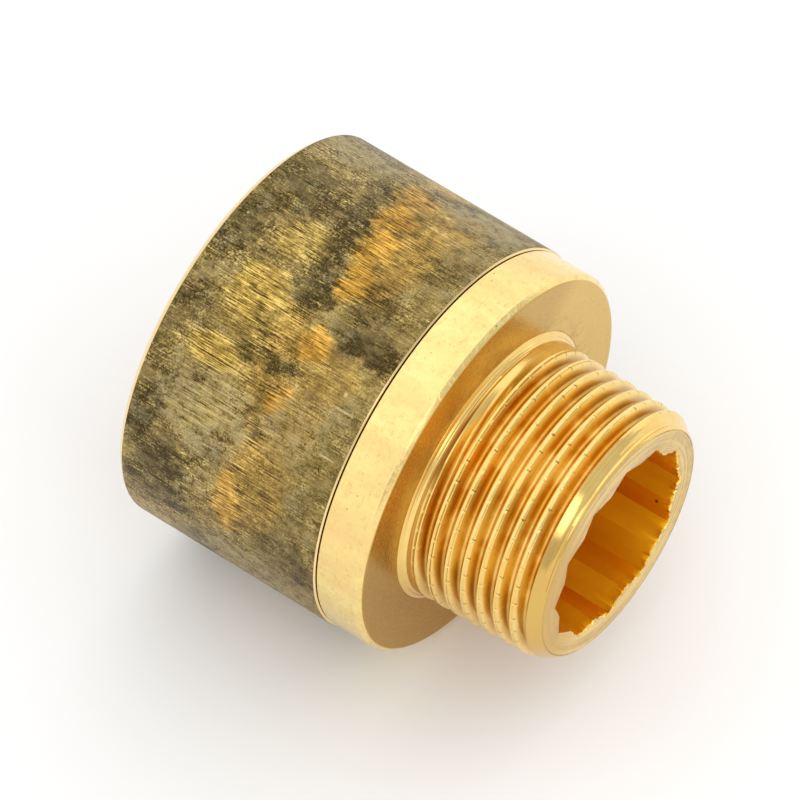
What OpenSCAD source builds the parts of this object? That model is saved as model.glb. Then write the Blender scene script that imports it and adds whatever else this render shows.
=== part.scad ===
// Union fitting: a free-turning female coupling sleeve held on a male-threaded tail by a pressed stop ring.
// Frame: +X runs along the fitting's axis towards the male end, +Z is up.
// The origin is on the axis at the stop ring's front face, where the male end begins.

/* [Male end] */
// Length of the male end, from the stop ring's front face to the end face
male_len = 14.7; // [13:0.1:18]
// Crest radius of the taper thread at its gauge plane
gauge_r = 13.2205; // [13.0:0.0005:13.4]
// Distance from the end face back to the gauge plane
gauge_len = 9.5; // [8:0.1:11]
// Male thread pitch, 14 threads to the inch
male_pitch = 1.814; // [1.5:0.001:2.2]
// Height of the male thread, crest to root
male_depth = 1.0; // [0.6:0.05:1.16]
// Width of the flat on top of each male thread
male_land = 0.44; // [0.2:0.02:0.6]
// Radius of the flat end face
end_face_r = 11.9; // [11:0.1:12.4]
// Length of the plain lead-in cone at the end
lead_len = 1.3; // [0.8:0.1:2]
// Radius of the outer points of the 12-point key bore
key_point_r = 9.9; // [9:0.05:10.5]
// Radius of the inner points of the 12-point key bore
key_notch_r = 9.05; // [8.5:0.05:9.4]
// Turn of the key bore about the axis, in degrees
key_turn = 24.5; // [0:0.5:30]

/* [Stop ring] */
// Outer radius of the stop ring
ring_r = 19.8; // [19:0.1:19.9]
// Length of the stop ring
ring_len = 4.85; // [4:0.05:7]
// Chamfer on the stop ring's front edge
ring_chamfer = 0.5; // [0.2:0.1:1]

/* [Coupling sleeve] */
// Outer radius of the sleeve
sleeve_r = 20; // [19.5:0.1:21]
// Length of the sleeve
sleeve_len = 22.75; // [20:0.05:26]
// Axial play between the sleeve and the stop ring
joint_gap = 0.15; // [0.1:0.05:0.4]
// Length of the sleeve's inward lip, which runs on the tail
lip_len = 4.1; // [3:0.1:5]
// Chamfer on the sleeve's edge beside the stop ring
sleeve_front_chamfer = 0.2; // [0.1:0.05:0.6]
// Chamfer on the sleeve's outer edge at its mouth
sleeve_mouth_chamfer = 0.6; // [0.3:0.1:1]
// Major radius of the parallel female thread
female_r = 16.6245; // [16.5:0.0005:16.8]
// Minor radius of the parallel female thread
female_minor_r = 15.1455; // [15.0:0.0005:15.3]
// Female thread pitch, 11 threads to the inch
female_pitch = 2.309; // [2:0.001:2.5]
// Number of full grooves in the female thread
female_grooves = 4; // [3:1:4]

/* [Tail inside the sleeve] */
// Radius of the tail's journal, which the sleeve turns on and the stop ring is pressed on
journal_r = 14.05; // [13.8:0.05:14.2]
// Radial running clearance between the sleeve's lip and the journal
run_clearance = 0.07; // [0.02:0.01:0.1]
// Radius of the tail's inner flange and of the gasket
flange_r = 15.0; // [14.8:0.05:15.05]
// Thickness of the tail's inner flange
flange_len = 2.8; // [2:0.1:4]
// Thickness of the flat gasket
gasket_len = 2; // [1.5:0.5:3]
// Bore radius of the flat gasket
gasket_bore_r = 10.5; // [10:0.5:12]

/* [Hidden] */
$fn = 96;
flank_tan = tan(27.5);
cone_slope = 1 / 32;
// How far a cut runs past the face it opens
overrun = 0.5;
// Axial stations, all measured from the stop ring's front face
sleeve_front = -ring_len - joint_gap;
sleeve_mouth = sleeve_front - sleeve_len;
lip_back = sleeve_front - lip_len;
flange_front = lip_back - joint_gap;
flange_back = flange_front - flange_len;
gasket_back = flange_back - gasket_len;
// Male thread: the last groove ends where the lead-in cone begins
male_groove_top = male_pitch - male_land;
male_groove_root = male_groove_top - 2 * male_depth * flank_tan;
male_grooves = 7;
first_groove = male_len - lead_len - male_groove_top / 2;
last_groove = first_groove - (male_grooves - 1) * male_pitch;
// Small fillet cone between the stop ring's face and the neck of the male end
fillet_len = 0.45;
neck_r = crest_r(last_groove - male_pitch / 2);
// Female thread, counted from the chamfer at the mouth
female_entry_r = female_r + 0.5;
female_entry_len = female_entry_r - female_minor_r;
female_depth = female_r - female_minor_r;
female_land = female_pitch / 6;
female_groove_top = female_pitch - female_land;
female_groove_root = female_groove_top - 2 * female_depth * flank_tan;
first_female_groove = sleeve_mouth + female_entry_len + female_groove_top / 2;
thread_end = first_female_groove + (female_grooves - 0.5) * female_pitch;
relief_r = female_r + 0.15;

// Crest radius of the taper thread at a station x
function crest_r(x) = gauge_r + (male_len - gauge_len - x) * cone_slope;

// Turns an outline of [radius, station] points about the X axis
module turned(outline) {
  rotate([0, 90, 0])
    rotate_extrude()
      polygon(outline);
}

// One V groove of the male thread as outline points, cut between two flat crests
function male_groove(x) = [
  [crest_r(x + male_pitch / 2), x + male_groove_top / 2],
  [crest_r(x) - male_depth, x + male_groove_root / 2],
  [crest_r(x) - male_depth, x - male_groove_root / 2],
  [crest_r(x - male_pitch / 2), x - male_groove_top / 2]
];

// One V groove of the female thread as outline points
function female_groove(x) = [
  [female_minor_r, x - female_groove_top / 2],
  [female_r, x - female_groove_root / 2],
  [female_r, x + female_groove_root / 2],
  [female_minor_r, x + female_groove_top / 2]
];

// The 12-point star of the key bore, drawn in the plane across the axis
module key_star() {
  polygon([
    for (i = [0:23])
      let (a = i * 15 + key_turn, r = i % 2 == 0 ? key_point_r : key_notch_r)
        [r * cos(a), r * sin(a)]
  ]);
}

// Outline of the tail's outside, from its inner flange to the male end face
tail_outline = concat(
  [
    [0, flange_back],
    [flange_r, flange_back],
    [flange_r, flange_front],
    [journal_r, flange_front],
    [journal_r, 0],
    [neck_r, fillet_len]
  ],
  [
    for (i = [male_grooves - 1:-1:0])
      let (points = male_groove(first_groove - i * male_pitch))
        for (k = [3:-1:0])
          points[k]
  ],
  [
    [end_face_r, male_len],
    [0, male_len]
  ]
);

// Outline of the sleeve: outside skin, lip, relief and female thread
sleeve_outline = concat(
  [
    [sleeve_r - sleeve_mouth_chamfer, sleeve_mouth],
    [sleeve_r, sleeve_mouth + sleeve_mouth_chamfer],
    [sleeve_r, sleeve_front - sleeve_front_chamfer],
    [sleeve_r - sleeve_front_chamfer, sleeve_front],
    [journal_r + run_clearance, sleeve_front],
    [journal_r + run_clearance, lip_back],
    [relief_r, lip_back],
    [relief_r, thread_end + female_depth],
    [female_minor_r, thread_end]
  ],
  [
    for (i = [female_grooves - 1:-1:0])
      let (points = female_groove(first_female_groove + i * female_pitch))
        for (k = [3:-1:0])
          points[k]
  ],
  [
    [female_entry_r, sleeve_mouth]
  ]
);

module coupling_sleeve() {
  color([0.45, 0.36, 0.18])
    turned(sleeve_outline);
}

module threaded_tail() {
  color([0.88, 0.66, 0.3])
    difference() {
      turned(tail_outline);
      translate([flange_back - overrun, 0, 0])
        rotate([90, 0, 90])
          linear_extrude(male_len - flange_back + 2 * overrun)
            key_star();
    }
}

module stop_ring() {
  color([0.95, 0.85, 0.5])
    turned([
      [journal_r, -ring_len],
      [ring_r - 0.1, -ring_len],
      [ring_r, -ring_len + 0.1],
      [ring_r, -ring_chamfer],
      [ring_r - ring_chamfer, 0],
      [journal_r, 0]
    ]);
}

module flat_gasket() {
  color([0.12, 0.12, 0.12])
    turned([
      [gasket_bore_r, gasket_back],
      [flange_r, gasket_back],
      [flange_r, flange_back],
      [gasket_bore_r, flange_back]
    ]);
}

coupling_sleeve();
threaded_tail();
stop_ring();
flat_gasket();
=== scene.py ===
import math
import random

import bmesh
import bpy
from mathutils import Matrix, Vector


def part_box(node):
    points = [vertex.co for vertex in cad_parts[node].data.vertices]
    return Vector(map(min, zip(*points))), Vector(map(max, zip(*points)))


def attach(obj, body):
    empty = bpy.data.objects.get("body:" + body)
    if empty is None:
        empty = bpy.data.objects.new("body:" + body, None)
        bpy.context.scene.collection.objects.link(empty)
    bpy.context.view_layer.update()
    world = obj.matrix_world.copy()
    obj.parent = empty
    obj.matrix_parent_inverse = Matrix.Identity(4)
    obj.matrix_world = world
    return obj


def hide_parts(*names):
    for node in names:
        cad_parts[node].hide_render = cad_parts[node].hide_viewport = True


# Union fitting. Every mesh is made here in millimetres around the CAD frame, and stored in metres.
# X runs along the fitting's axis towards the male end. Turn angles, in degrees, are measured about +X
# from +Y to +Z.
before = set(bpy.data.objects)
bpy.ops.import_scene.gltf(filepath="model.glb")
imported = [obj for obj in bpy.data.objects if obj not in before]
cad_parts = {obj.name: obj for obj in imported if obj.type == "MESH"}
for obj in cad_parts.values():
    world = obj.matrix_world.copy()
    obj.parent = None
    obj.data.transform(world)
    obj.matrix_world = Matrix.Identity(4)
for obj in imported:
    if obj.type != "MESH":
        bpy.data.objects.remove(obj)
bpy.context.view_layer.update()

MM = 0.001


def span(node):
    """Lowest x, highest x and outer radius of a CAD node, in millimetres."""
    low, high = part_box(node)
    return round(low.x / MM, 3), round(high.x / MM, 3), round(max(high.y, high.z) / MM, 3)


SLEEVE_MOUTH, SLEEVE_FRONT, SLEEVE_R = span("coupling_sleeve")
TAIL_BACK, MALE_END, FLANGE_R = span("threaded_tail")
RING_BACK, RING_FRONT, RING_R = span("stop_ring")
GASKET_BACK, GASKET_FRONT, GASKET_R = span("flat_gasket")

# Details that the boxes don't give, as in the CAD
JOURNAL_R = 14.05
LIP_R = 14.12
LIP_BACK = SLEEVE_FRONT - 4.1
AXIAL_PLAY = 0.15
FLANGE_FRONT = LIP_BACK - AXIAL_PLAY
GASKET_BORE_R = 10.5
# How far a thread's flank runs along the axis for each millimetre of depth
FLANK = math.tan(math.radians(27.5))


# ---------------------------------------------------------------- mesh tools

def smooth_step(value, low, high):
    """0 below low, 1 above high, and a smooth rise between them."""
    t = min(max((value - low) / (high - low), 0.0), 1.0)
    return t * t * (3 - 2 * t)


def soften(outline):
    """Rounds the corners of an outline of (x, radius, cut) points.

    Each corner with a cut becomes three points on a shallow arc.
    """
    arc_depth = 0.29
    points = []
    for i, (x, r, cut) in enumerate(outline):
        if not cut:
            points.append((x, r))
            continue
        corner = Vector((x, r))
        before = (Vector(outline[i - 1][:2]) - corner).normalized() * cut
        after = (Vector(outline[(i + 1) % len(outline)][:2]) - corner).normalized() * cut
        points.append(tuple(corner + before))
        points.append(tuple(corner + (before + after) * arc_depth))
        points.append(tuple(corner + after))
    return points


class Place:
    """A point of a thread's outline, with the radius there of the cone that may cut the thread off."""

    def __init__(self, x, thread_r, limit_r):
        self.x = x
        self.thread_r = thread_r
        self.limit_r = limit_r
        self.on_edge = False


def meet_limit(places, limit):
    """Moves the nearest place on to the edge, wherever a thread's outline crosses the cone."""
    for a, b in zip(places, places[1:]):
        gap_a = a.thread_r - a.limit_r
        gap_b = b.thread_r - b.limit_r
        if gap_a * gap_b < 0:
            share = gap_a / (gap_a - gap_b)
            moved = a if share < 0.5 else b
            moved.x = a.x + (b.x - a.x) * share
            moved.thread_r = moved.limit_r = limit(moved.x)
            moved.on_edge = True


class Skin:
    """A closed surface made of rings of points around the axis, each with one point per turn angle."""

    def __init__(self, angles):
        self.angles = angles
        self.cos = [math.cos(math.radians(a)) for a in angles]
        self.sin = [math.sin(math.radians(a)) for a in angles]
        self.points = []
        self.faces = []
        self.crisp = []

    def point(self, column, x, r):
        """Adds a point and returns its number."""
        self.points.append((x * MM, r * self.cos[column] * MM, r * self.sin[column] * MM))
        return len(self.points) - 1

    def ring(self, x, r):
        """A ring at station x, where x and r are numbers or functions of the column."""
        station = x if callable(x) else lambda column: x
        radius = r if callable(r) else lambda column: r
        return [self.point(c, station(c), radius(c)) for c in range(len(self.angles))]

    def face(self, corners, crisp=False):
        """Adds a face, or the triangle that is left of it where two corners are the same point."""
        corners = list(dict.fromkeys(corners))
        if len(corners) > 2:
            self.faces.append(corners)
            self.crisp.append(crisp)

    def bridge(self, rings, crisp=False):
        """Joins each ring to the next one."""
        count = len(self.angles)
        for near, far in zip(rings, rings[1:]):
            for c in range(count):
                d = (c + 1) % count
                self.face((near[c], near[d], far[d], far[c]), crisp)

    def cut_face(self, corners, on_edge):
        """Adds a face of four corners. One whose diagonal is part of an edge is cut along it."""
        edge_corners = [i for i in range(4) if corners[i] in on_edge]
        if edge_corners == [0, 2]:
            self.face(corners[:3])
            self.face((corners[0], corners[2], corners[3]))
        elif edge_corners == [1, 3]:
            self.face(corners[1:])
            self.face((corners[0], corners[1], corners[3]))
        else:
            self.face(corners)

    def helix(
        self, low_ring, high_ring, x_low, x_high, pitch, crest_at, profile, radius, limit, inner=False,
    ):
        """Winds a thread between two rings.

        profile is a list of (distance back from a crest's centre, drop) over one pitch, and crest_at a
        crest's centre at turn angle 0. radius(x, drop, groove, row, column) gives the thread's radius,
        where groove is the middle of the groove behind the crest. limit(x) is the radius of the cone that
        cuts the thread off. An outer thread takes the smaller of the two radii and an inner one the larger.
        """
        joined = 0.01
        rows = len(profile)
        columns = len(self.angles)
        first = self.angles[0]
        start = crest_at + pitch * first / 360
        start += pitch * math.ceil((x_high - start) / pitch)
        turns = math.ceil((start - x_low) / pitch) + 2
        pick = max if inner else min
        grid = []
        on_edge = set()
        for c, angle in enumerate(self.angles):
            shift = pitch * (angle - first) / 360
            places = []
            for n in range(turns):
                crest = start - n * pitch + shift
                for row, (back, drop) in enumerate(profile):
                    x = crest - back
                    thread_r = radius(x, drop, crest - pitch / 2, row, c)
                    places.append(Place(x, thread_r, limit(x)))
            meet_limit(places, limit)
            column = []
            for place in places:
                if place.x > x_high - joined:
                    column.append(high_ring[c])
                elif place.x < x_low + joined:
                    column.append(low_ring[c])
                else:
                    column.append(self.point(c, place.x, pick(place.thread_r, place.limit_r)))
                    if place.on_edge:
                        on_edge.add(column[-1])
            grid.append(column)
        for c in range(columns):
            # After the last column the helix meets the first one, a whole turn of rows further on
            last = c + 1 == columns
            near = grid[c]
            far = grid[0] if last else grid[c + 1]
            step = rows if last else 0
            for g in range(step, len(near) - 1):
                self.cut_face((near[g], near[g + 1], far[g + 1 - step], far[g - step]), on_edge)

    def build(self, name, sharp_angle=50, crisp_angle=14):
        """Makes the object.

        Edges sharper than sharp_angle stay hard, and those between crisp faces from crisp_angle on.
        """
        mesh = bpy.data.meshes.new(name)
        mesh.from_pydata(self.points, [], self.faces)
        bm = bmesh.new()
        bm.from_mesh(mesh)
        crisp = {face for face, is_crisp in zip(bm.faces, self.crisp) if is_crisp}
        bmesh.ops.recalc_face_normals(bm, faces=bm.faces)
        for edge in bm.edges:
            fine = all(f in crisp for f in edge.link_faces)
            limit = math.radians(crisp_angle if fine else sharp_angle)
            edge.smooth = edge.calc_face_angle(0) < limit
        for f in bm.faces:
            f.smooth = True
        bm.to_mesh(mesh)
        bm.free()
        piece = bpy.data.objects.new(name, mesh)
        bpy.context.scene.collection.objects.link(piece)
        normals = piece.modifiers.new("weighted_normals", "WEIGHTED_NORMAL")
        normals.keep_sharp = True
        normals.weight = 60
        return piece


def even_angles(count):
    """Turn angles of count columns."""
    return [360 * i / count for i in range(count)]


# ---------------------------------------------------------------- threaded tail

# Taper thread, size 3/4. A crest passes CREST_X at turn angle CREST_TURN.
PITCH = 1.814
THREAD_DEPTH = 1.0
LAND = 0.44
TAPER = 1 / 32
GAUGE_X = MALE_END - 9.5
GAUGE_R = 13.2205
CREST_X = MALE_END - 2.9
CREST_TURN = 121
THREAD_LOW = 0.62
THREAD_HIGH = MALE_END - 0.14
# Between these stations a groove runs out in the neck
RUN_OUT = (1.52, 1.92)
# Lead-in cone, and the end face with a fine groove near its edge
LEAD_START = MALE_END - 1.45
END_FACE_R = 11.9
FINE_GROOVE_R = END_FACE_R - 0.13
# Nicks across the crests
NICK_EVERY = 9
NICK_DEPTH = 0.11
# Columns of each nick's cell: the nick, its two shoulders, and the star bore's corners at 3 and 6 degrees
CELL = (0, 0.4, 1.6, 3.0, 4.5, 6.0, 7.4, 8.6)
# Share of a nick's depth in each column of its cell: it is deepest in its own, with a raised shoulder
NICK_COLUMNS = {0: 1, 1: -0.12, 7: 0}
# Share of a nick's depth in each row of the profile: rows 11 to 13 are the crest's edge on the end side,
# and the nick fades over rows 0 and 1
NICK_ROWS = {11: 0.3, 12: 1, 13: 1, 0: 0.55, 1: 0.2}
# Star bore for the key: the turn of a point, the step to the notch after it, and the radii of both
KEY_TURN = 24.5
STAR_STEP = 15
STAR_POINT_R = 9.9
STAR_NOTCH_R = 9.05
# The same radii point by point at the end face, where the broach left the edge ragged
STAR_POINTS = (10.1, 9.85, 9.8, 9.6, 9.6, 9.75, 9.9, 10.0, 10.05, 10.15, 10.1, 9.9)
STAR_NOTCHES = (9.15, 9.2, 8.6, 8.55, 8.8, 9.1, 9.3, 9.2, 9.1, 9.45, 9.05, 9.4)
# Middle of the rougher side of that edge, the least share of roughness elsewhere, and its size in mm
BURR_TURN = -40
BURR_LEAST = 0.12
BURR_SIZE = 0.26


def crest_r(x):
    """Crest radius of the taper thread."""
    return GAUGE_R + (GAUGE_X - x) * TAPER


def lead_in(x):
    """Radius of the cone at the end, which cuts the thread off."""
    slope = (crest_r(LEAD_START) - END_FACE_R) / (MALE_END - LEAD_START)
    return END_FACE_R + (MALE_END - x) * slope


def male_profile():
    """One pitch of (distance back from a crest's centre, drop).

    The crest's edges are burnished up a little, the flanks are straight and the root is rounded.
    """
    half = [
        (0, 0.03),
        (0.11, 0.016),
        (0.185, 0.0),
        (0.232, 0.04),
        (LAND / 2 + 0.12 * FLANK, 0.12),
        (LAND / 2 + 0.8 * FLANK, 0.8),
        (LAND / 2 + 0.93 * FLANK + 0.02, 0.945),
    ]
    root = [(PITCH / 2, THREAD_DEPTH)]
    return half + root + [(PITCH - back, drop) for back, drop in half[:0:-1]]


def star_radius(angle, points, notches):
    """Radius of a star with straight sides at a turn angle."""
    rounding = 1e-6
    count = 2 * len(points)
    place = ((angle - KEY_TURN) % 360) / STAR_STEP
    i = int(place + rounding) % count
    corners = []
    for j in (i, (i + 1) % count):
        r = points[j // 2] if j % 2 == 0 else notches[j // 2]
        a = math.radians(KEY_TURN + STAR_STEP * j)
        corners.append((r * math.cos(a), r * math.sin(a)))
    (ax, ay), (bx, by) = corners
    c, s = math.cos(math.radians(angle)), math.sin(math.radians(angle))
    return (ax * by - ay * bx) / (c * (by - ay) - s * (bx - ax))


def make_tail():
    """The tail, with a helix thread outside and the key's star bore inside."""
    cells = range(360 // NICK_EVERY)
    angles = [KEY_TURN + NICK_EVERY * cell + step for cell in cells for step in CELL]
    skin = Skin(angles)
    draw = random.Random(7)
    nicks = {}

    def thread_radius(x, drop, groove, row, column):
        depth = drop * smooth_step(groove, *RUN_OUT) if drop > 0.03 else drop
        place = column % len(CELL)
        share = NICK_ROWS.get(row, 0)
        if share and place in NICK_COLUMNS and groove > RUN_OUT[1]:
            key = (column // len(CELL), round(groove / PITCH))
            size = nicks.setdefault(key, draw.uniform(0.35, 1.25))
            depth += NICK_DEPTH * size * share * NICK_COLUMNS[place]
        return crest_r(x) - depth

    # Back face, inner flange and journal, then the fillet at the foot of the male end
    back_outline = soften([
        (TAIL_BACK, GASKET_BORE_R + 0.2, 0),
        (TAIL_BACK, FLANGE_R, 0.2),
        (FLANGE_FRONT, FLANGE_R, 0.2),
        (FLANGE_FRONT, JOURNAL_R, 0.1),
        (0.0, JOURNAL_R, 0.06),
        (0.16, 13.62, 0.05),
        (0.3, 13.55, 0.04),
        (0.44, 13.36, 0.03),
        (0.5, crest_r(0.5) - 0.04, 0),
        (THREAD_LOW - 0.06, crest_r(THREAD_LOW), 0),
    ])
    back = [skin.ring(x, r) for x, r in back_outline]
    low = skin.ring(THREAD_LOW, crest_r(THREAD_LOW))
    high = skin.ring(THREAD_HIGH, lead_in(THREAD_HIGH))
    skin.bridge(back + [low])
    skin.helix(
        low, high, THREAD_LOW, THREAD_HIGH, PITCH, CREST_X - PITCH * CREST_TURN / 360,
        male_profile(), thread_radius, lead_in,
    )
    # End face, and the ragged edge of the star bore, which settles to a clean star further in
    burr = [draw.uniform(-1, 1) for _ in angles]

    def bore(ragged, burr_size):
        points = [STAR_POINT_R + (r - STAR_POINT_R) * ragged for r in STAR_POINTS]
        notches = [STAR_NOTCH_R + (r - STAR_NOTCH_R) * ragged for r in STAR_NOTCHES]

        def radius(column):
            side = math.cos(math.radians(angles[column] - BURR_TURN))
            rough_side = BURR_LEAST + (1 - BURR_LEAST) * smooth_step(side, -0.3, 0.6)
            return star_radius(angles[column], points, notches) + burr[column] * burr_size * rough_side
        return radius

    face = [
        skin.ring(MALE_END - 0.05, END_FACE_R + 0.01),
        skin.ring(MALE_END - 0.01, END_FACE_R - 0.03),
        skin.ring(MALE_END - 0.01, END_FACE_R - 0.07),
        skin.ring(MALE_END - 0.07, FINE_GROOVE_R),
        skin.ring(MALE_END - 0.01, END_FACE_R - 0.19),
        skin.ring(MALE_END, END_FACE_R - 0.24),
        skin.ring(MALE_END, END_FACE_R - 0.7),
        skin.ring(MALE_END, lambda c: bore(1, BURR_SIZE)(c) + 0.14),
        skin.ring(MALE_END - 0.1, bore(1, BURR_SIZE)),
    ]
    skin.bridge([high] + face)
    inside = [face[-1]]
    # Depth in the bore, share of the raggedness that is left, and size of the burr
    steps = ((0.3, 1, 0.12), (0.8, 0.95, 0.015), (3, 0.6, 0), (7, 0.3, 0), (15, 0.1, 0))
    for depth, ragged, burr_size in steps:
        inside.append(skin.ring(MALE_END - depth, bore(ragged, burr_size)))
    inside.append(skin.ring(TAIL_BACK + 0.1, bore(0, 0)))
    inside.append(skin.ring(TAIL_BACK, lambda c: bore(0, 0)(c) + 0.1))
    skin.bridge(inside, crisp=True)
    skin.bridge([inside[-1], back[0]])
    return skin.build("brass_tail")


# ---------------------------------------------------------------- coupling sleeve

# Parallel thread, size 1, between the entry cone at the mouth and the relief groove
FEMALE_PITCH = 2.309
FEMALE_R = 16.6245
FEMALE_MINOR_R = 15.1455
FEMALE_DEPTH = FEMALE_R - FEMALE_MINOR_R
FEMALE_TURNS = 3.9167
ENTRY_R = FEMALE_R + 0.5
ENTRY_END = SLEEVE_MOUTH + ENTRY_R - FEMALE_MINOR_R
THREAD_END = ENTRY_END + FEMALE_PITCH * FEMALE_TURNS
RELIEF_R = FEMALE_R + 0.15


def female_profile():
    """One pitch of (distance back from a crest's centre, depth of the groove)."""
    land = FEMALE_PITCH / 6
    half = [
        (0, 0),
        (land / 2 - 0.05, 0),
        (land / 2 + 0.1 * FLANK, 0.08),
        (land / 2 + 0.5 * FLANK, 0.5),
        (land / 2 + 0.9 * FLANK, 0.9),
        (land / 2 + 1.25 * FLANK, 1.25),
        (land / 2 + 1.42 * FLANK + 0.05, 1.43),
    ]
    root = [(FEMALE_PITCH / 2, FEMALE_DEPTH)]
    return half + root + [(FEMALE_PITCH - back, depth) for back, depth in half[:0:-1]]


def make_sleeve():
    """The sleeve, with a helix thread inside."""
    skin = Skin(even_angles(288))

    def thread_radius(x, depth, groove, row, column):
        return FEMALE_MINOR_R + depth

    def limit(x):
        return FEMALE_MINOR_R + max(ENTRY_END - x, x - THREAD_END, 0)

    x_low, x_high = SLEEVE_MOUTH + 0.12, THREAD_END + FEMALE_DEPTH
    mouth, front = SLEEVE_MOUTH, SLEEVE_FRONT
    mouth_chamfer, front_chamfer = 0.6, 0.2
    # The front lip and the relief groove follow the outside, and three rings divide its plain length
    outline = soften([
        (mouth, ENTRY_R, 0),
        (mouth, SLEEVE_R - mouth_chamfer, 0.1),
        (mouth + mouth_chamfer, SLEEVE_R, 0.12),
        *((mouth + distance, SLEEVE_R, 0) for distance in (6, 12, 18)),
        (front - front_chamfer, SLEEVE_R, 0.03),
        (front, SLEEVE_R - front_chamfer, 0.03),
        (front, LIP_R, 0.12),
        (LIP_BACK, LIP_R, 0.12),
        (LIP_BACK, RELIEF_R, 0.3),
        (x_high + 0.2, RELIEF_R, 0),
    ])
    rings = [skin.ring(x, r) for x, r in outline]
    low = skin.ring(x_low, limit(x_low))
    high = skin.ring(x_high, limit(x_high))
    skin.bridge([low] + rings + [high])
    skin.helix(
        low, high, x_low, x_high, FEMALE_PITCH, 0,
        female_profile(), thread_radius, limit, inner=True,
    )
    return skin.build("brass_sleeve")


# ---------------------------------------------------------------- stop ring and gasket

def make_lathe(name, outline, count):
    """A plain turned piece with count columns."""
    skin = Skin(even_angles(count))
    rings = [skin.ring(x, r) for x, r in soften(outline)]
    skin.bridge(rings + rings[:1])
    return skin.build(name)


RING_CHAMFER = 0.5


def make_ring():
    """The stop ring."""
    return make_lathe("brass_stop_ring", [
        (RING_BACK, JOURNAL_R, 0.1),
        (RING_BACK, RING_R, 0.03),
        (RING_FRONT - RING_CHAMFER, RING_R, 0.1),
        (RING_FRONT, RING_R - RING_CHAMFER, 0.09),
        (RING_FRONT, JOURNAL_R, 0.05),
    ], 288)


def make_gasket():
    """The flat gasket."""
    return make_lathe("rubber_gasket", [
        (GASKET_BACK, GASKET_BORE_R, 0.15),
        (GASKET_BACK, GASKET_R, 0.2),
        (GASKET_FRONT, GASKET_R, 0.15),
        (GASKET_FRONT, GASKET_BORE_R, 0.15),
    ], 160)


# ---------------------------------------------------------------- materials

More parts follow.
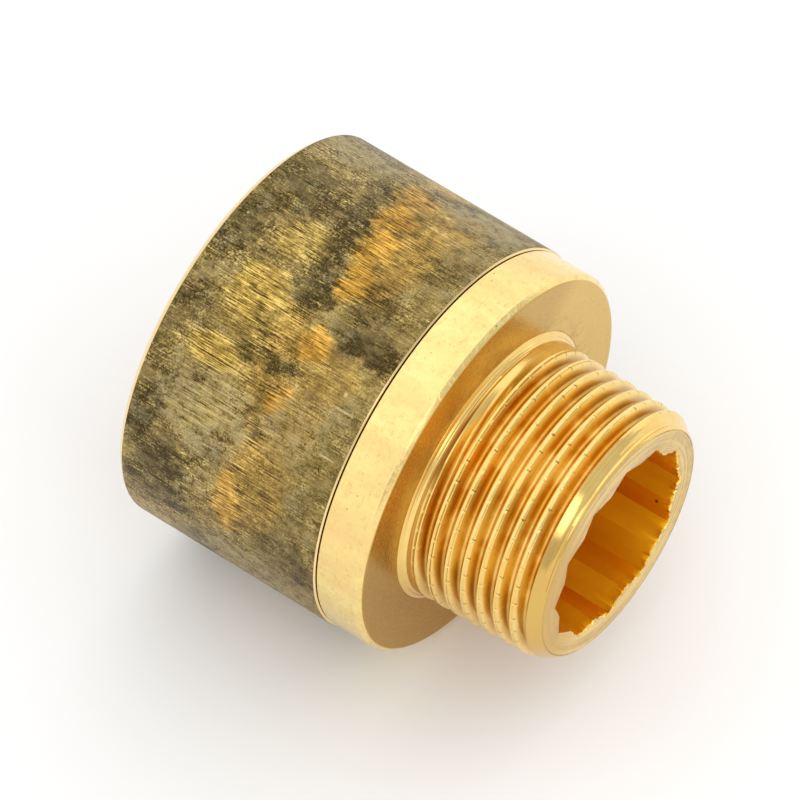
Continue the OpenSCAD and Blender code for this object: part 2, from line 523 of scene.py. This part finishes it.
class Nodes:
    """Short names for the shader nodes of one material.

    Positions are in millimetres: x along the axis, r away from it, and turn around it in degrees.
    """

    def __init__(self, name):
        self.material = bpy.data.materials.new(name)
        self.material.use_nodes = True
        self.tree = self.material.node_tree
        self.shader = self.tree.nodes["Principled BSDF"]
        where = self.tree.nodes.new("ShaderNodeTexCoord").outputs["Object"]
        self.place = self.vector("SCALE", where, scale=1 / MM)
        split = self.tree.nodes.new("ShaderNodeSeparateXYZ")
        self.tree.links.new(self.place, split.inputs[0])
        self.x, y, z = split.outputs
        self.r = self.math("SQRT", self.math("ADD", self.product(y, y), self.product(z, z)))
        self.turn = self.product(self.math("ARCTAN2", z, y), 180 / math.pi)

    def put(self, socket, value):
        """Links or sets an input."""
        if isinstance(value, bpy.types.NodeSocket):
            self.tree.links.new(value, socket)
        else:
            socket.default_value = value

    def math(self, operation, a, b=None, c=None):
        """A math node."""
        node = self.tree.nodes.new("ShaderNodeMath")
        node.operation = operation
        for socket, value in zip(node.inputs, (a, b, c)):
            if value is not None:
                self.put(socket, value)
        return node.outputs[0]

    def product(self, value, *factors):
        """Several values multiplied together."""
        for factor in factors:
            value = self.math("MULTIPLY", value, factor)
        return value

    def mix(self, amount, a, b):
        """A value that goes from a to b."""
        return self.math("MULTIPLY_ADD", self.math("SUBTRACT", b, a), amount, a)

    def vary(self, base, noise, amount):
        """A base value with some noise added, which leaves it alone where the noise is 0.5."""
        return self.math("MULTIPLY_ADD", self.math("SUBTRACT", noise, 0.5), amount, base)

    def vector(self, operation, a, b=None, scale=None):
        """A vector node."""
        node = self.tree.nodes.new("ShaderNodeVectorMath")
        node.operation = operation
        self.put(node.inputs[0], a)
        if b is not None:
            self.put(node.inputs[1], b)
        if scale is not None:
            node.inputs["Scale"].default_value = scale
        return node.outputs[0]

    def stretch(self, along, around):
        """The place, scaled by one factor along the axis and another across it."""
        return self.vector("MULTIPLY", self.place, (along, around, around))

    def ramp(self, value, low, high, start=0.0, end=1.0):
        """Smoothly maps low..high of a value to start..end."""
        node = self.tree.nodes.new("ShaderNodeMapRange")
        node.interpolation_type = "SMOOTHSTEP"
        names = ("Value", "From Min", "From Max", "To Min", "To Max")
        for name, setting in zip(names, (value, low, high, start, end)):
            self.put(node.inputs[name], setting)
        return node.outputs["Result"]

    def near(self, distance, inner, outer):
        """1 where a distance, positive or negative, is within inner, falling to 0 at outer."""
        return self.ramp(self.math("ABSOLUTE", distance), outer, inner)

    def offset(self, value, centre, period):
        """Distance of a value past the nearest of many centres, one every period."""
        return self.math("WRAP", self.math("SUBTRACT", value, centre), period / 2, -period / 2)

    def noise(self, where, scale, detail=3.0, rough=0.55, w=None):
        """Cloudy noise, mostly between 0.3 and 0.7."""
        node = self.tree.nodes.new("ShaderNodeTexNoise")
        self.put(node.inputs["Vector"], where)
        node.inputs["Scale"].default_value = scale
        node.inputs["Detail"].default_value = detail
        node.inputs["Roughness"].default_value = rough
        if w is not None:
            node.noise_dimensions = "4D"
            self.put(node.inputs["W"], w)
        return node.outputs["Fac"]

    def cells(self, where, scale):
        """Distance to the nearest of many scattered points."""
        node = self.tree.nodes.new("ShaderNodeTexVoronoi")
        self.put(node.inputs["Vector"], where)
        node.inputs["Scale"].default_value = scale
        return node.outputs["Distance"]

    def blend(self, amount, a, b, mode="MIX"):
        """A colour that goes from a to b."""
        node = self.tree.nodes.new("ShaderNodeMix")
        node.data_type = "RGBA"
        node.blend_type = mode
        node.clamp_factor = True
        self.put(node.inputs[0], amount)
        for socket, colour in ((node.inputs[6], a), (node.inputs[7], b)):
            self.put(socket, colour if isinstance(colour, bpy.types.NodeSocket) else (*colour, 1))
        return node.outputs[2]

    def colours(self, value, *stops):
        """A colour ramp of (place, colour) stops."""
        node = self.tree.nodes.new("ShaderNodeValToRGB")
        while len(node.color_ramp.elements) < len(stops):
            node.color_ramp.elements.new(0.5)
        for element, (place, colour) in zip(node.color_ramp.elements, stops):
            element.position = place
            element.color = (*colour, 1)
        self.put(node.inputs[0], value)
        return node.outputs[0]

    def turning_lines(self, spacing):
        """Fine lines around the axis, on cylinders and on faces alike, about spacing mm apart."""
        where = self.vector("MULTIPLY", self.place, (1 / spacing, 0.06, 0.06))
        return self.noise(where, 1.0, 2.0, 0.6, w=self.product(self.r, 1 / spacing))

    def patches(self, station, turn, places):
        """The strongest of some soft-edged patches at each place, or 0 away from all of them.

        Each patch is (station, turn, half length, half turn, strength, lean). A lean above 1 makes the
        patch end sooner towards the mouth. Where station and turn are uneven, so are the patch's edges.
        """
        strongest = 0.0
        for x, angle, half_length, half_turn, strength, lean in places:
            along = self.math("DIVIDE", self.math("SUBTRACT", station, x), half_length)
            along = self.math("MAXIMUM", along, self.math("MULTIPLY", along, -lean))
            around = self.math("DIVIDE", self.offset(turn, angle, 360), half_turn)
            square = self.math("MULTIPLY_ADD", along, along, self.math("MULTIPLY", around, around))
            mask = self.ramp(square, 1.5, 0.25, 0, strength)
            strongest = self.math("MAXIMUM", strongest, mask)
        return strongest

    def around(self):
        """The direction around the axis, which the tool marks follow."""
        node = self.tree.nodes.new("ShaderNodeTangent")
        node.direction_type = "RADIAL"
        node.axis = "X"
        return node.outputs[0]

    def bump(self, height, distance, strength):
        """Fine relief, distance mm high."""
        node = self.tree.nodes.new("ShaderNodeBump")
        node.inputs["Strength"].default_value = strength
        node.inputs["Distance"].default_value = distance * MM
        self.put(node.inputs["Height"], height)
        return node.outputs[0]

    def finish(self, **sockets):
        """Sets the shader's inputs, whose names have _ for a space, and returns the material."""
        for name, value in sockets.items():
            self.put(self.shader.inputs[name.replace("_", " ")], value)
        return self.material


# Where one finish gives way to another on the tail: radii and stations in mm, for Nodes.ramp
INSIDE_BORE = (10.6, 10.4)
OUTSIDE_THREAD = (11.4, 11.6)
OUTSIDE_NECK = (12.8, 12.9)
PAST_NECK = (2.0, 2.4)
DEEP_IN_BORE = (4, -4)
# All patches are (station, turn, half length, half turn, strength, lean), as in Nodes.patches
# Painted shade in the male thread's grooves, on its top and low sides
GROOVE_SHADE = (
    (6, 44, 14, 30, 0.75, 1.0),
    (6, 192, 14, 24, 0.6, 1.0),
)
BORE_SPECK = ((MALE_END - 1.6, -26, 0.18, 1.3, 0.9, 1.0),)
# Painted shade on the low side of the male end
LOW_SIDE_SHADE = ((MALE_END, 175, 4, 50, 0.75, 1.0),)
# Where the first groove of the male thread runs out
RUN_OUT_X = 0.85


def thread_colour(n, colour, on_thread):
    """Darkens the grooves with cutting oil and painted shade, and paints shade into the run-out in the neck
    and into the nicks that cross the crests.
    """
    crest_line = n.math("MULTIPLY_ADD", n.math("SUBTRACT", GAUGE_X, n.x), TAPER, GAUGE_R)
    depth = n.math("SUBTRACT", crest_line, n.r)
    # The grooves are orange, partly from cutting oil and partly as painted shade, and browner on the top
    # and low sides, which is painted shade
    groove = n.product(n.ramp(depth, 0.1, 0.8), on_thread)
    oil_and_shade = n.ramp(n.noise(n.stretch(0.3, 0.22), 1.0, 4, 0.6), 0.38, 0.6, 0.35, 1.0)
    colour = n.blend(n.product(groove, oil_and_shade), colour, (0.63, 0.30, 0.035))
    shade = n.patches(n.x, n.turn, GROOVE_SHADE)
    colour = n.blend(n.product(groove, shade), colour, (0.42, 0.23, 0.045))
    # A painted shadow where the first groove runs out in the neck
    run_out_shadow = n.near(n.math("SUBTRACT", n.x, RUN_OUT_X), 0.08, 0.3)
    run_out_shadow = n.product(run_out_shadow, n.near(n.offset(n.turn, CREST_TURN, 360), 8, 30))
    run_out_shadow = n.product(run_out_shadow, n.ramp(n.r, *OUTSIDE_NECK))
    colour = n.blend(run_out_shadow, colour, (0.28, 0.13, 0.025))
    # Painted shade in the nicks, as dark ticks on each crest's end side
    across = n.near(n.offset(n.turn, KEY_TURN - 0.3, NICK_EVERY), 0.22, 0.5)
    crest_x = n.math("MULTIPLY_ADD", n.math("SUBTRACT", n.turn, CREST_TURN), PITCH / 360, CREST_X)
    end_side = n.ramp(n.offset(n.x, crest_x, PITCH), -0.08, 0.06)
    on_crest = n.ramp(depth, 0.34, 0.12)
    nick_shade = n.product(across, end_side, on_crest, on_thread, n.ramp(n.x, *PAST_NECK))
    patchy = n.ramp(n.noise(n.place, 0.7, 3), 0.42, 0.58, 0.15, 0.75)
    return n.blend(n.product(nick_shade, patchy), colour, (0.2, 0.11, 0.02))


def bore_colour(n):
    """Deep orange, with painted shade that makes every other facet a little darker."""
    # Painted shade: every other facet is a little darker
    past_facet = n.math("SUBTRACT", n.turn, KEY_TURN + STAR_STEP / 2)
    facet = n.math("SINE", n.product(past_facet, math.pi / STAR_STEP))
    colour = n.blend(n.ramp(facet, -0.25, 0.25), (0.88, 0.44, 0.008), (0.91, 0.475, 0.010))
    colour = n.blend(n.ramp(n.x, *DEEP_IN_BORE), colour, (0.92, 0.62, 0.16))
    return n.blend(n.patches(n.x, n.turn, BORE_SPECK), colour, (0.10, 0.03, 0.01))


def end_colour(n, colour, end_face, rings, in_bore):
    """Dust on the end face, a darker line near its edge, and painted shade on its low side."""
    dust = n.ramp(n.noise(n.place, 1.4, 4, 0.65), 0.35, 0.7, 0.5, 0.95)
    face_colour = n.blend(rings, (0.82, 0.64, 0.34), (0.46, 0.33, 0.14))
    colour = n.blend(n.product(end_face, dust), colour, face_colour)
    # A darker line along the fine groove inside the edge
    edge = n.near(n.math("SUBTRACT", n.r, FINE_GROOVE_R), 0.03, 0.07)
    edge = n.product(edge, n.ramp(n.x, MALE_END - 0.2, MALE_END - 0.1))
    edge = n.product(edge, n.ramp(n.noise(n.place, 0.5, 3), 0.35, 0.55, 0.3, 0.9))
    colour = n.blend(edge, colour, (0.30, 0.18, 0.05))
    # Painted shade on the low side of the lead-in and the end face
    painted_low_shade = n.patches(n.x, n.turn, LOW_SIDE_SHADE)
    painted_low_shade = n.product(painted_low_shade, n.ramp(n.x, LEAD_START - 0.2, LEAD_START + 0.3))
    painted_low_shade = n.product(painted_low_shade, n.math("SUBTRACT", 1.0, in_bore))
    return n.blend(painted_low_shade, colour, (0.62, 0.39, 0.10))


def machined_brass():
    """The tail: bright turned brass, matt on its end face and deep orange in the broached bore."""
    n = Nodes("machined_brass")
    lines = n.turning_lines(0.09)
    rings = n.ramp(n.turning_lines(0.3), 0.38, 0.62, 0.0, 0.8)
    in_bore = n.product(n.ramp(n.r, *INSIDE_BORE), n.ramp(n.x, MALE_END - 0.1, MALE_END - 0.2))
    end_face = n.ramp(n.x, MALE_END - 0.03, MALE_END - 0.01)
    on_thread = n.ramp(n.x, LEAD_START + 0.3, LEAD_START - 0.2)
    on_thread = n.product(on_thread, n.ramp(n.r, *OUTSIDE_THREAD))
    colour = n.colours(
        n.mix(0.6, lines, n.noise(n.place, 0.3, 4)),
        (0.3, (0.82, 0.54, 0.15)),
        (0.5, (0.89, 0.62, 0.20)),
        (0.7, (0.94, 0.70, 0.27)),
    )
    colour = thread_colour(n, colour, on_thread)
    colour = n.blend(in_bore, colour, bore_colour(n))
    colour = end_colour(n, colour, end_face, rings, in_bore)
    matt = 0.25
    rough = n.ramp(lines, 0.3, 0.7, 0.12, 0.24)
    rough = n.math("MULTIPLY_ADD", end_face, matt, rough)
    rough = n.math("MULTIPLY_ADD", in_bore, matt, rough)
    broached = n.noise(n.stretch(0.12, 4), 1.0, 3)
    height = n.mix(in_bore, lines, broached)
    height = n.math("ADD", height, n.product(end_face, rings, 3))
    return n.finish(
        Base_Color=colour, Metallic=1.0, Roughness=rough, Normal=n.bump(height, 0.008, 0.6),
        Anisotropic=0.45, Anisotropic_Rotation=0.25, Tangent=n.around(),
    )


# Painted shade on the ring's face, on its top and low sides
FACE_SHADE_PATCHES = (
    (RING_FRONT, -150, 3, 60, 0.8, 1.0),
    (RING_FRONT, 72, 3, 25, 0.6, 1.0),
)


def ring_brass():
    """The stop ring: pale fine-turned brass with light wear, and a face painted darker as painted shade."""
    n = Nodes("ring_brass")
    lines = n.turning_lines(0.07)
    # The chamfer has the outside's colour
    outside = n.ramp(n.r, RING_R - 0.48, RING_R - 0.4)
    colour = n.colours(
        n.noise(n.stretch(0.12, 0.3), 1.0, 5, 0.6),
        (0.38, (0.90, 0.64, 0.26)),
        (0.5, (0.92, 0.70, 0.27)),
        (0.62, (0.95, 0.76, 0.31)),
    )
    flecks = n.ramp(n.noise(n.stretch(1.6, 1.0), 1.0, 5, 0.75), 0.52, 0.66, 0.0, 0.6)
    colour = n.blend(flecks, colour, (0.80, 0.52, 0.19))
    # The face is painted darker than the outside, as painted shade, and darker still in patches towards its
    # inner edge
    darker_inside = n.ramp(n.noise(n.place, 0.8, 5, 0.7), 0.45, 0.62, 0.0, 0.55)
    darker_inside = n.product(darker_inside, n.ramp(n.r, 17.0, 14.2))
    face = n.blend(darker_inside, (0.68, 0.44, 0.10), (0.42, 0.22, 0.04))
    face = n.blend(n.patches(n.x, n.turn, FACE_SHADE_PATCHES), face, (0.48, 0.27, 0.04))
    colour = n.blend(outside, face, colour)
    pits = n.ramp(n.cells(n.place, 1.1), 0.16, 0.07, 0.0, 0.7)
    pits = n.product(pits, n.ramp(n.noise(n.place, 0.4, 3), 0.53, 0.62))
    colour = n.blend(pits, colour, (0.35, 0.2, 0.06))
    scuffs = n.ramp(n.noise(n.stretch(1.4, 2.2), 1.0, 5, 0.7), 0.5, 0.7)
    rough = n.math("MULTIPLY_ADD", scuffs, 0.14, n.ramp(lines, 0.3, 0.7, 0.16, 0.3))
    height = n.math("MULTIPLY_ADD", n.product(scuffs, outside), -1.6, lines)
    return n.finish(
        Base_Color=colour, Metallic=1.0, Roughness=rough, Normal=n.bump(height, 0.009, 0.7),
        Anisotropic=0.6, Anisotropic_Rotation=0.25, Tangent=n.around(),
    )


# Stations between which the sleeve's golden patches turn orange, and its skin quieter, towards the joint
ORANGE_FROM = (-18.5, -16)
QUIET_FROM = (-17, -9)
# Radii between which the mouth's face gives way to the socket
INSIDE_SOCKET = (17.2, 17.0)
# Where the mill skin is worn golden
GOLDEN_PATCHES = (
    (-16.8, 59, 3.6, 8, 0.8, 3.5),
    (-15.8, 71, 3.4, 8, 1.0, 3.5),
    (-14.9, 84, 3.0, 9, 1.0, 3.5),
    (-14.0, 97, 2.6, 8, 1.0, 3.5),
    (-13.5, 117.5, 2.6, 4.5, 1.0, 3.0),
    (-14.2, 135, 1.9, 4.2, 1.0, 3.0),
    (-12.2, 127, 1.0, 6, 0.3, 1.0),
    (-14.7, 150, 2.4, 9, 0.5, 3.0),
    (-15.8, 170, 2.8, 12, 0.7, 3.0),
    (-20.4, 95, 3.4, 7, 0.5, 1.3),
    (-20.6, 113, 3.4, 8.5, 0.95, 1.3),
    (-21.4, 131.5, 3.2, 5, 1.0, 1.3),
    (-20.8, 146, 4.2, 10, 0.5, 1.3),
    (-18.2, 118, 5.5, 9, 0.5, 1.0),
    (-19.0, 132, 6.0, 8, 0.45, 1.0),
    (-13.0, 138, 5.0, 10, 0.35, 1.0),
    (-12.2, 84, 3.8, 18, 0.5, 1.0),
    (-11.5, 62, 4.0, 10, 0.4, 1.0),
    (-10.2, 123, 3.2, 8, 0.35, 1.0),
    (-12.8, 160, 3.8, 16, 0.4, 1.0),
    (-15.4, 211, 3.6, 9, 0.7, 2.5),
    (-14.2, 226, 3.2, 11, 1.0, 3.0),
    (-15.6, 243, 2.4, 8, 0.6, 2.5),
    (-22.8, 249, 3.2, 9, 0.5, 1.5),
    (-21.8, 265, 4.2, 10, 0.9, 1.5),
    (-20.2, 279, 3.0, 7, 0.5, 1.5),
    (-12.6, 288, 2.6, 8, 0.7, 2.5),
    (-11.8, 303, 3.4, 9, 0.9, 3.0),
    (-13.2, 317, 2.2, 7, 0.5, 2.5),
    (-19.6, 334, 3.4, 9, 0.5, 1.6),
    (-20.8, 349, 4.2, 9, 0.9, 1.6),
    (-11.2, 6, 3.2, 9, 0.7, 2.0),
    (-10.4, 21, 2.4, 8, 0.4, 2.0),
    (-16.8, 40, 3.0, 9, 0.5, 2.5),
)
# Where it is nearly black
DARK_PATCHES = (
    (-18.6, 67, 1.5, 8, 0.7, 1.0),
    (-17.8, 79, 1.8, 9, 1.0, 1.0),
    (-16.9, 91, 1.6, 8, 0.9, 1.0),
    (-15.9, 101, 1.6, 6, 0.9, 1.0),
    (-15.3, 108, 1.8, 4.5, 1.0, 1.0),
    (-23.2, 79, 4.5, 10, 0.7, 1.0),
    (-25.8, 101, 2.4, 13, 0.9, 1.0),
    (-25.9, 124, 2.0, 5, 0.7, 1.0),
    (-16.6, 126.5, 3.6, 2.8, 0.9, 1.0),
    (-8.4, 110.5, 3.8, 5, 1.0, 1.0),
    (-10.5, 101, 2.6, 9, 0.5, 1.0),
    (-25.8, 158, 2.0, 11, 0.8, 1.0),
    (-22.6, 168, 3.0, 8, 0.9, 1.0),
    (-23.6, 182, 4.0, 9, 0.9, 1.0),
    (-8.6, 180, 3.4, 12, 0.6, 1.0),
    (-19.0, 205, 2.6, 14, 0.7, 1.0),
    (-25.2, 230, 2.6, 20, 0.7, 1.0),
    (-16.5, 280, 3.0, 16, 0.8, 1.0),
    (-25.0, 310, 2.6, 18, 0.7, 1.0),
    (-15.5, 335, 2.6, 12, 0.7, 1.0),
)
# Where a pale bloom lies on it, and on its upper side a painted sheen
BLOOM_AND_SHEEN_PATCHES = (
    (-20.0, 148, 5.5, 13, 0.55, 1.0),
    (-11.5, 141, 3.0, 9, 0.4, 1.0),
    (-23.5, 54, 4.5, 9, 0.6, 1.0),
    (-9.5, 52, 4.5, 10, 0.6, 1.0),
    (-14.0, 196, 6.0, 12, 0.4, 1.0),
    (-21.0, 290, 5.0, 16, 0.5, 1.0),
    (-10.0, 325, 3.5, 14, 0.4, 1.0),
)
# Short pale scratches near the joint
SCRATCHES = (
    (-7.3, 128, 1.2, 0.3, 0.5, 1.0),
    (-7.9, 124, 0.2, 0.6, 0.6, 1.0),
    (-6.9, 141, 0.9, 0.3, 0.5, 1.0),
)


def skin_colour(n, tone, gold, station, turn, mottle):
    """The mill skin's colour for a tone from 0, nearly black, to 1."""
    colour = n.colours(
        tone,
        (0.0, (0.050, 0.033, 0.007)),
        (0.25, (0.145, 0.100, 0.027)),
        (0.45, (0.27, 0.19, 0.058)),
        (0.65, (0.43, 0.31, 0.10)),
        (0.85, (0.62, 0.45, 0.155)),
        (1.0, (0.84, 0.65, 0.26)),
    )
    # Golden patches are orange from heat near the joint and yellow nearer the mouth
    heat = n.product(gold, n.ramp(station, *ORANGE_FROM), 0.9)
    colour = n.blend(n.product(gold, 0.9), colour, (1.08, 0.99, 0.62), "MULTIPLY")
    colour = n.blend(heat, colour, (1.05, 0.84, 0.60), "MULTIPLY")
    # Between them the skin is tan or grey-green in places
    plain = n.ramp(gold, 0.5, 0.1)
    tan = n.product(n.ramp(n.noise(n.stretch(0.3, 0.5), 1.0, 4, 0.6), 0.48, 0.62, 0, 0.3), plain)
    colour = n.blend(tan, colour, (0.36, 0.26, 0.11))
    green = n.product(n.ramp(n.noise(n.place, 0.45, 5, 0.7), 0.5, 0.66, 0, 0.35), plain)
    colour = n.blend(green, colour, (0.27, 0.25, 0.145))
    # A pale bloom, and on the upper side a painted sheen
    bloom_and_sheen = n.product(n.patches(station, turn, BLOOM_AND_SHEEN_PATCHES), n.ramp(mottle, 0.35, 0.6))
    colour = n.blend(bloom_and_sheen, colour, (0.40, 0.34, 0.185))
    return n.blend(n.patches(n.x, n.turn, SCRATCHES), colour, (0.75, 0.62, 0.36))


def socket_colour(n, lines):
    """The mouth, the socket and the front edge: turned metal, with browner thread grooves."""
    colour = n.colours(lines, (0.35, (0.88, 0.65, 0.29)), (0.65, (0.95, 0.75, 0.39)))
    groove = n.ramp(n.r, FEMALE_MINOR_R + 0.1, FEMALE_R)
    groove = n.product(groove, n.ramp(n.x, ENTRY_END - 1, ENTRY_END), n.ramp(n.r, *INSIDE_SOCKET), 0.6)
    return n.blend(groove, colour, (0.60, 0.36, 0.09))


# Tone of the plain skin, and what golden and dark patches add to it
PLAIN_TONE = 0.43
GOLD_TONE = 0.22
DARK_TONE = -0.34


def sleeve_skin():
    """The sleeve: raw mill skin, dark and mottled, with golden patches and fine lengthways streaks."""
    n = Nodes("sleeve_skin")
    streaks = n.noise(n.stretch(0.45, 8.0), 1.0, 3, 0.7)
    speckle = n.noise(n.place, 5.0, 2, 0.7)
    mottle = n.noise(n.place, 0.9, 5, 0.7)
    cloud = n.noise(n.place, 0.22, 5, 0.65)
    ragged = n.noise(n.stretch(0.25, 2.6), 1.0, 4, 0.75)
    # Uneven stations and turns give the patches uneven edges
    station = n.vary(n.x, ragged, 5.0)
    turn = n.vary(n.turn, cloud, 16.0)
    gold = n.patches(station, turn, GOLDEN_PATCHES)
    dark = n.patches(n.vary(n.x, mottle, 6.0), turn, DARK_PATCHES)
    grain = n.mix(n.ramp(gold, 0.0, 0.8, 0.5, 0.85), speckle, streaks)
    quiet = n.ramp(station, *QUIET_FROM)
    contrast = n.ramp(n.noise(n.stretch(0.4, 0.7), 1.0, 3), 0.4, 0.6, 2.4, 5.0)
    contrast = n.product(contrast, n.math("MULTIPLY_ADD", quiet, -0.35, 1.0))
    tone = n.math("MULTIPLY_ADD", dark, DARK_TONE, PLAIN_TONE)
    tone = n.math("MULTIPLY_ADD", gold, GOLD_TONE, tone)
    tone = n.vary(tone, grain, contrast)
    tone = n.vary(tone, mottle, n.math("MULTIPLY_ADD", quiet, -0.6, 1.5))
    tone = n.vary(tone, cloud, 1.0)
    outside = n.ramp(n.r, SLEEVE_R - 0.06, SLEEVE_R - 0.03)
    lines = n.turning_lines(0.12)
    skin = skin_colour(n, tone, gold, station, turn, mottle)
    colour = n.blend(outside, socket_colour(n, lines), skin)
    dull = n.product(outside, n.ramp(tone, 0.15, 0.8, 0.2, 0.05))
    rough = n.math("MULTIPLY_ADD", outside, n.ramp(grain, 0.35, 0.65, 0.28, 0.12), 0.26)
    height = n.mix(outside, n.product(lines, 0.15), grain)
    return n.finish(
        Base_Color=colour, Metallic=n.math("SUBTRACT", 1.0, dull), Roughness=rough,
        Normal=n.bump(height, 0.05, 0.9),
    )


def gasket_rubber():
    """The gasket: matt black rubber with a fine grain."""
    n = Nodes("gasket_rubber")
    grain = n.noise(n.place, 2.0, 4)
    colour = n.colours(grain, (0.3, (0.018, 0.018, 0.018)), (0.7, (0.045, 0.043, 0.04)))
    rough = n.ramp(grain, 0.3, 0.7, 0.6, 0.8)
    return n.finish(Base_Color=colour, Roughness=rough, Normal=n.bump(grain, 0.05, 0.5))


# How each piece is made, the CAD node it replaces, its body, its slot and its material
PIECES = (
    (make_sleeve, "coupling_sleeve", "sleeve", "sleeve_skin", sleeve_skin),
    (make_tail, "threaded_tail", "tail", "turned_metal", machined_brass),
    (make_ring, "stop_ring", "tail", "ring_metal", ring_brass),
    (make_gasket, "flat_gasket", "tail", "gasket_rubber", gasket_rubber),
)
for make, node, body, slot, material in PIECES:
    piece = make()
    piece.data.materials.append(material())
    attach(piece, body)
    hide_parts(node)


# ---------------------------------------------------------------- stage, light and camera

def make_floor():
    """A plain pale floor that the sleeve lies on."""
    half_metres = 3.0
    height = -SLEEVE_R * MM
    mesh = bpy.data.meshes.new("floor")
    signs = ((-1, -1), (1, -1), (1, 1), (-1, 1))
    corners = [(x * half_metres, y * half_metres, height) for x, y in signs]
    mesh.from_pydata(corners, [], [(0, 1, 2, 3)])
    floor = bpy.data.objects.new("floor", mesh)
    bpy.context.scene.collection.objects.link(floor)
    n = Nodes("pale_floor")
    mesh.materials.append(n.finish(Base_Color=(0.95, 0.948, 0.945, 1), Roughness=0.7))


def area_light(name, place, aim, size, radiance):
    """A panel at a place in metres, facing another, whose radiance a mirror would show."""
    light = bpy.data.lights.new(name, "AREA")
    light.shape = "RECTANGLE"
    light.size, light.size_y = size
    light.energy = radiance * math.pi * size[0] * size[1]
    lamp = bpy.data.objects.new(name, light)
    lamp.location = place
    lamp.rotation_euler = (Vector(aim) - Vector(place)).to_track_quat("-Z", "Y").to_euler()
    bpy.context.scene.collection.objects.link(lamp)


def make_world(strength):
    """An even white surround."""
    world = bpy.data.worlds.new("studio")
    world.use_nodes = True
    background = world.node_tree.nodes["Background"]
    background.inputs["Color"].default_value = (1, 1, 1, 1)
    background.inputs["Strength"].default_value = strength
    bpy.context.scene.world = world


# The camera's azimuth and elevation in degrees, and its distance, lens, sensor and aim in millimetres.
# It is aimed a little beside the joint.
AZIMUTH, ELEVATION = 36.7, 53.48
DISTANCE = 806.4
LENS, SENSOR = 393.9, 36.0
AIM_ALONG, AIM_RIGHT, AIM_UP = -5.25, -3.93, 3.49


def make_camera():
    """The camera, upright."""
    a, e = math.radians(AZIMUTH), math.radians(ELEVATION)
    right = Vector((math.cos(a), math.sin(a), 0))
    towards = Vector((math.sin(a) * math.cos(e), -math.cos(a) * math.cos(e), math.sin(e)))
    up = towards.cross(right)
    place = Vector((AIM_ALONG, 0, 0)) + right * AIM_RIGHT + up * AIM_UP + towards * DISTANCE
    data = bpy.data.cameras.new("camera")
    data.lens = LENS
    data.sensor_width = SENSOR
    data.clip_start, data.clip_end = 0.05, 20
    camera = bpy.data.objects.new("camera", data)
    turn = Matrix((right, up, towards)).transposed().to_4x4()
    camera.matrix_world = Matrix.Translation(place * MM) @ turn
    bpy.context.scene.collection.objects.link(camera)
    bpy.context.scene.camera = camera


make_floor()
# Panels above, in front and behind, with the two ends of the fitting left in a dimmer surround
make_world(0.7)
area_light("overhead", place=(0, 0, 1.2), aim=(0, 0.001, 0), size=(2.2, 3.2), radiance=0.6)
area_light("front", place=(0, -1.7, 0.62), aim=(0, 0, 0.62), size=(2.2, 1.24), radiance=0.5)
area_light("rear", place=(0, 1.7, 0.62), aim=(0, 0, 0.62), size=(2.2, 1.24), radiance=0.55)
area_light("key", place=(0.38, -0.155, 0.25), aim=(0.01, 0, 0), size=(0.2, 0.2), radiance=1.6)
make_camera()
bpy.context.scene.view_settings.view_transform = "Standard"
# Light that is passed from thread to thread, and along the bore, keeps its orange colour
bpy.context.scene.cycles.max_bounces = 18
bpy.context.scene.cycles.glossy_bounces = 16
